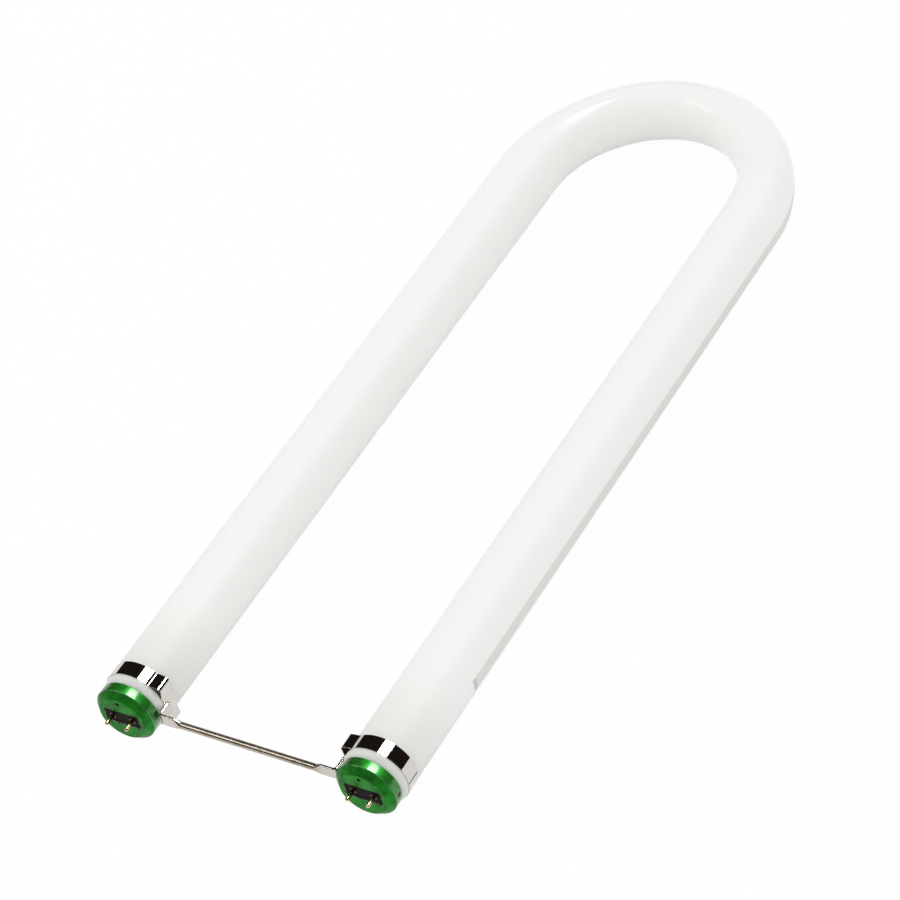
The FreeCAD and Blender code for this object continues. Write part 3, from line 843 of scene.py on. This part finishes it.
class BULB_OT_contact_pins(Operator):
    """Set the four brass contact pins in the insulator plates"""
    bl_idname = "bulb.contact_pins"
    bl_label = "Contact pins"

    def execute(self, context):
        pin = context.scene.bulb_pin
        seat = CAP_LOW.y + pin.seat
        collar = seat - pin.collar_thickness
        tip_flat, crease_round = pin.radius * 0.02, mm(0.05)
        outline = rounded_path([
            (PIN_LOW.y, tip_flat, 0), (PIN_LOW.y, pin.radius, pin.tip_round),
            (collar, pin.radius, crease_round), (collar, pin.collar_radius, pin.collar_round),
            (seat, pin.collar_radius, 0), (seat, pin.tail_radius, 0),
            (PIN_HIGH.y, pin.tail_radius, 0)])
        # Two points of a route may not share a place, so each is set a hair after the last.
        points = [(0, y + index * SAME_PLACE, 0) for index, (y, radius) in enumerate(outline)]
        route = route_object("pin_outline", points, [radius for y, radius in outline])
        places = bpy.data.meshes.new("pin_places")
        places.from_pydata([(side * LEG_X + hand * pin.spacing / 2, 0, AXIS_Z)
                            for side in (-1, 1) for hand in (-1, 1)], [], [])
        mesh = grown(placed("pin_places", places), pins_tree(), "contact_pins", {
            "Outline": route, "Sides": pin.sides,
            "Material": drawn_brass(context.scene.bulb_finishes)})
        bpy.data.objects.remove(route)
        add_piece("contact_pins", closed(mesh, sharp_degrees=35), "brass",
                  *[f"{label}_pin_{place}" for label in SIDES for place in ("inner", "outer")])
        return {"FINISHED"}


class BULB_OT_clip_bands(Operator):
    """Bend the bright clip bands round the legs, with their square folds"""
    bl_idname = "bulb.clip_bands"
    bl_label = "Clip bands"

    def route(self, band):
        """Middle of the strip across the leg, from seam to seam, with the folds on the +X side."""
        wrap_steps, web_steps, fold_steps = 60, 16, 12
        radius, crease = band.outer_radius, band.crease_angle
        start = band.seam_gap / 2 / radius - pi / 2
        upper, middle = [
            [(radius * sin(turn), radius * cos(turn), 0) for turn in turns]
            for turns in (spread(start, band.fold_angle, wrap_steps),
                          spread(crease, pi - crease, web_steps))]
        for run, end in ((upper, -1), (middle, 0), (middle, -1)):
            run[end] = (*run[end][:2], band.fold_round)
        upper.append((radius + band.fold_out, band.fold_height, band.corner_round))
        lower = [(x, -z, r) for x, z, r in reversed(upper)]
        outside = rounded_path(upper + middle + lower, steps=fold_steps)
        return offset_path(outside, -band.wall / 2)

    def execute(self, context):
        band = context.scene.bulb_band
        material = bright_plating(context.scene.bulb_finishes)
        tree = strip_tree()
        middle_y = (BAND_LOW.y + BAND_HIGH.y) / 2
        for label, side in SIDES.items():
            name = f"{label}_bright_band"
            points = [(side * (LEG_X - p.x), middle_y, AXIS_Z + p.y) for p in self.route(band)]
            mesh = grown(route_object("band_route", points, [1] * len(points)), tree, name, {
                "Width": band.width, "Thickness": band.wall, "Edge Round": band.edge_round,
                "Material": material})
            add_piece(name, closed(mesh, sharp_degrees=10), "bright_plating", f"{label}_clip_band")
        return {"FINISHED"}


class BULB_OT_brace_rod(Operator):
    """Forge the brace rod: round in the middle, flattened and bent to a foot at each end"""
    bl_idname = "bulb.brace_rod"
    bl_label = "Brace rod"

    def stations(self, brace):
        """Places along the right half: across, along, heading, half sizes and round."""
        rod_steps, taper_steps, arc_steps = 8, 12, 8
        thick, tip = brace.radius, brace.tip_round
        thin_and_sheen, tall, edge = brace.foot_thickness / 2, brace.foot_height / 2, brace.edge_round
        bend = brace.foot_bend + thin_and_sheen
        foot_x = BRACE_HIGH.x - thin_and_sheen
        axis_y = CAP_LOW.y + brace.offset
        round_x = BRACE_HIGH.x - brace.foot_thickness - brace.foot_flat - brace.foot_taper
        found = [(x, axis_y, 0, thick, thick, thick) for x in spread(0, round_x, rod_steps)[:-1]]
        for share in spread(0, 1, taper_steps):
            ease = share * share * (3 - 2 * share)
            found.append((round_x + brace.foot_taper * share, axis_y, 0,
                          *[thick + (size - thick) * ease for size in (thin_and_sheen, tall, edge)]))
        arc = spread(0, pi / 2, arc_steps)
        for turn in arc:
            found.append((foot_x - bend + bend * sin(turn),
                          axis_y + bend - bend * cos(turn), turn, thin_and_sheen, tall, edge))
        for turn in arc:
            found.append((foot_x, BRACE_HIGH.y - tip + tip * sin(turn), pi / 2,
                          thin_and_sheen, tall - tip * (1 - cos(turn)), edge))
        return found

    def ring(self, place, side):
        """Section of the rod at a place."""
        x, y, turn, thin_and_sheen, tall, edge = place
        outline = rounded_path([
            (thin_and_sheen, -tall, edge), (thin_and_sheen, tall, edge), (-thin_and_sheen, tall, edge), (-thin_and_sheen, -tall, edge)],
            steps=8)
        return [(side * (x - p.x * sin(turn)), y + p.x * cos(turn), AXIS_Z + p.y)
                for p in outline]

    def execute(self, context):
        places = self.stations(context.scene.bulb_brace)
        rings = [self.ring(place, 1) for place in places]
        other = [self.ring(place, -1) for place in places[1:]]
        mesh = ring_mesh("braced_rod", other[::-1] + rings, cyclic=False)
        mesh.materials.append(nickel_wire(context.scene.bulb_finishes))
        add_piece("braced_rod", closed(mesh, sharp_degrees=40), "plated_steel", "brace_rod")
        return {"FINISHED"}


class BULB_OT_inner_parts(Operator):
    """Give the insulator plates, the cement and the lead wires their finishes"""
    bl_idname = "bulb.inner_parts"
    bl_label = "Inner parts"

    def execute(self, context):
        finishes = context.scene.bulb_finishes
        dress = {"insulator": black_phenolic(finishes), "cement": basing_cement(finishes),
                 "lead_wire": lead_wire(finishes)}
        for name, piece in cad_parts.items():
            for part, material in dress.items():
                if part in name:
                    piece.data.materials.clear()
                    piece.data.materials.append(material)
        return {"FINISHED"}


class BULB_OT_studio(Operator):
    """Set the floor, the light, the cards that the metal reflects, and the camera"""
    bl_idname = "bulb.studio"
    bl_label = "Studio"

    def seen(self, add):
        """How far a ray shows the background: to the camera, in a mirror or through glass."""
        path = add("ShaderNodeLightPath").outputs
        mirror = add(MATH, {
            0: path["Is Camera Ray"], 1: path["Is Glossy Ray"]}, operation="MAXIMUM")
        return add(MATH, {
            0: mirror, 1: path["Is Transmission Ray"]}, operation="MAXIMUM")

    def world(self, context):
        """Even light, and plain white wherever the background shows."""
        world = context.scene.world = bpy.data.worlds.new("studio")
        add = partial(node, cleared(world))
        light, white = [
            add("ShaderNodeBackground", {"Color": WHITE, "Strength": strength})
            for strength in (context.scene.bulb_stage.sky, 1.0)]
        both = add("ShaderNodeMixShader", {0: self.seen(add), 1: light, 2: white})
        add("ShaderNodeOutputWorld", {"Surface": both})

    def floor(self, context):
        """Pale paper floor, lifted to white for the camera, with part of the shadow kept."""
        material = bpy.data.materials.new("pale_paper_floor")
        add = partial(node, cleared(material))
        paper = add("ShaderNodeBsdfDiffuse", {"Color": context.scene.bulb_finishes.floor})
        white = add("ShaderNodeEmission", {"Color": WHITE, "Strength": 1.0})
        lift = add(MATH, {
            0: self.seen(add), 1: context.scene.bulb_stage.lift}, operation="MULTIPLY")
        both = add("ShaderNodeMixShader", {0: lift, 1: paper, 2: white})
        add("ShaderNodeOutputMaterial", {"Surface": both})
        reach = 6.0
        self.screen("studio_floor", [
            (-reach, -reach, 0), (reach, -reach, 0), (reach, reach, 0), (-reach, reach, 0)],
            [(0, 1, 2, 3)], material)

    def screen(self, name, points, faces, material):
        """A part of the stage."""
        mesh = bpy.data.meshes.new(name)
        mesh.from_pydata(points, [], faces)
        mesh.materials.append(material)
        screen = placed(name, mesh)
        return screen

    def card(self, name, turns, reach, radius, strength, tint):
        """A curved card over the bulb, between two angles from the top, that only mirrors see."""
        steps = 16
        points = [(radius * sin(turn), y, radius * cos(turn))
                  for turn in spread(*map(radians, turns), steps) for y in reach]
        faces = [(2 * step, 2 * step + 1, 2 * step + 3, 2 * step + 2) for step in range(steps)]
        material = bpy.data.materials.new(name)
        add = partial(node, cleared(material))
        glow = add("ShaderNodeEmission", {"Color": tint, "Strength": strength})
        add("ShaderNodeOutputMaterial", {"Surface": glow})
        card = self.screen(name, points, faces, material)
        card.visible_camera = card.visible_diffuse = False
        card.visible_shadow = card.visible_transmission = False

    def lamp(self, context):
        """Large soft lamp from the upper left."""
        light = bpy.data.lights.new("soft_lamp", "AREA")
        light.shape = "DISK"
        light.size = 1.6
        light.energy = context.scene.bulb_stage.key
        lamp = placed("soft_lamp", light)
        lamp.location = (-1.3, 0.2, 1.9)
        lamp.rotation_euler = (-lamp.location).to_track_quat("-Z", "Y").to_euler()
        lamp.visible_glossy = False

    def camera(self, context):
        """Camera at the angle of the photograph."""
        stage = context.scene.bulb_stage
        data = bpy.data.cameras.new("photo_camera")
        data.sensor_fit = "HORIZONTAL"
        data.sensor_width = 36.0
        data.lens = stage.lens
        data.clip_end = 50.0
        place = Matrix.Translation(stage.target)
        for turn, way in ((stage.turn, "Z"), (pi / 2 - stage.rise, "X"), (stage.roll, "Z")):
            place = place @ Matrix.Rotation(turn, 4, way)
        camera = context.scene.camera = placed("photo_camera", data)
        camera.matrix_world = place @ Matrix.Translation((0, 0, stage.distance))

    def execute(self, context):
        self.world(context)
        self.floor(context)
        stage, finishes = context.scene.bulb_stage, context.scene.bulb_finishes
        dark, white, plain = finishes.dark_card, finishes.white_card, 1.0
        # Each card's name, angles in degrees, ends along the bulb and radius in metres, and light.
        for card in (
                ("dark_card_left", (-89, -4), (-12, 12), 5.0, plain, dark),
                ("dark_card_right", (27, 89), (-12, 12), 5.0, plain, dark),
                ("dark_card_front", (-5, 28), (-12, 1.0), 5.0, plain, dark),
                ("main_light", (-3.5, 26.5), (1.0, 3.1), 4.9, stage.panel, white),
                ("side_light", (-55, -25), (-2.4, -1.3), 4.9, stage.fill, white),
                ("front_card", (-38, -24), (-3.6, -0.3), 4.95, stage.glow, white)):
            self.card(*card)
        self.lamp(context)
        self.camera(context)
        context.scene.view_settings.view_transform = "Standard"
        return {"FINISHED"}


class BULB_PT_panel(Panel):
    """Lists the steps that make the bulb"""
    bl_idname = "BULB_PT_panel"
    bl_label = "Fluorescent bulb"
    bl_space_type = "VIEW_3D"
    bl_region_type = "UI"
    bl_category = "Bulb"

    def draw(self, context):
        for step in STEPS:
            self.layout.operator(step.bl_idname)


STEPS = (BULB_OT_glass_tube, BULB_OT_end_caps, BULB_OT_contact_pins, BULB_OT_clip_bands,
         BULB_OT_brace_rod, BULB_OT_inner_parts, BULB_OT_studio)
GROUPS = {"bulb_tube": TubeSizes, "bulb_cap": CapSizes, "bulb_pin": PinSizes,
          "bulb_band": BandSizes, "bulb_brace": BraceSizes, "bulb_stage": StageSizes,
          "bulb_finishes": Finishes}
CLASSES = (*GROUPS.values(), *STEPS, BULB_PT_panel)


def register():
    for made in CLASSES:
        bpy.utils.register_class(made)
    for name, group in GROUPS.items():
        setattr(bpy.types.Scene, name, PointerProperty(type=group))


def unregister():
    for name in GROUPS:
        delattr(bpy.types.Scene, name)
    for made in reversed(CLASSES):
        bpy.utils.unregister_class(made)


def main():
    """Make every piece and the studio."""
    register()
    for step in STEPS:
        family, name = step.bl_idname.split(".")
        getattr(getattr(bpy.ops, family), name)()
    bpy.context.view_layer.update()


if __name__ == "__main__":
    main()
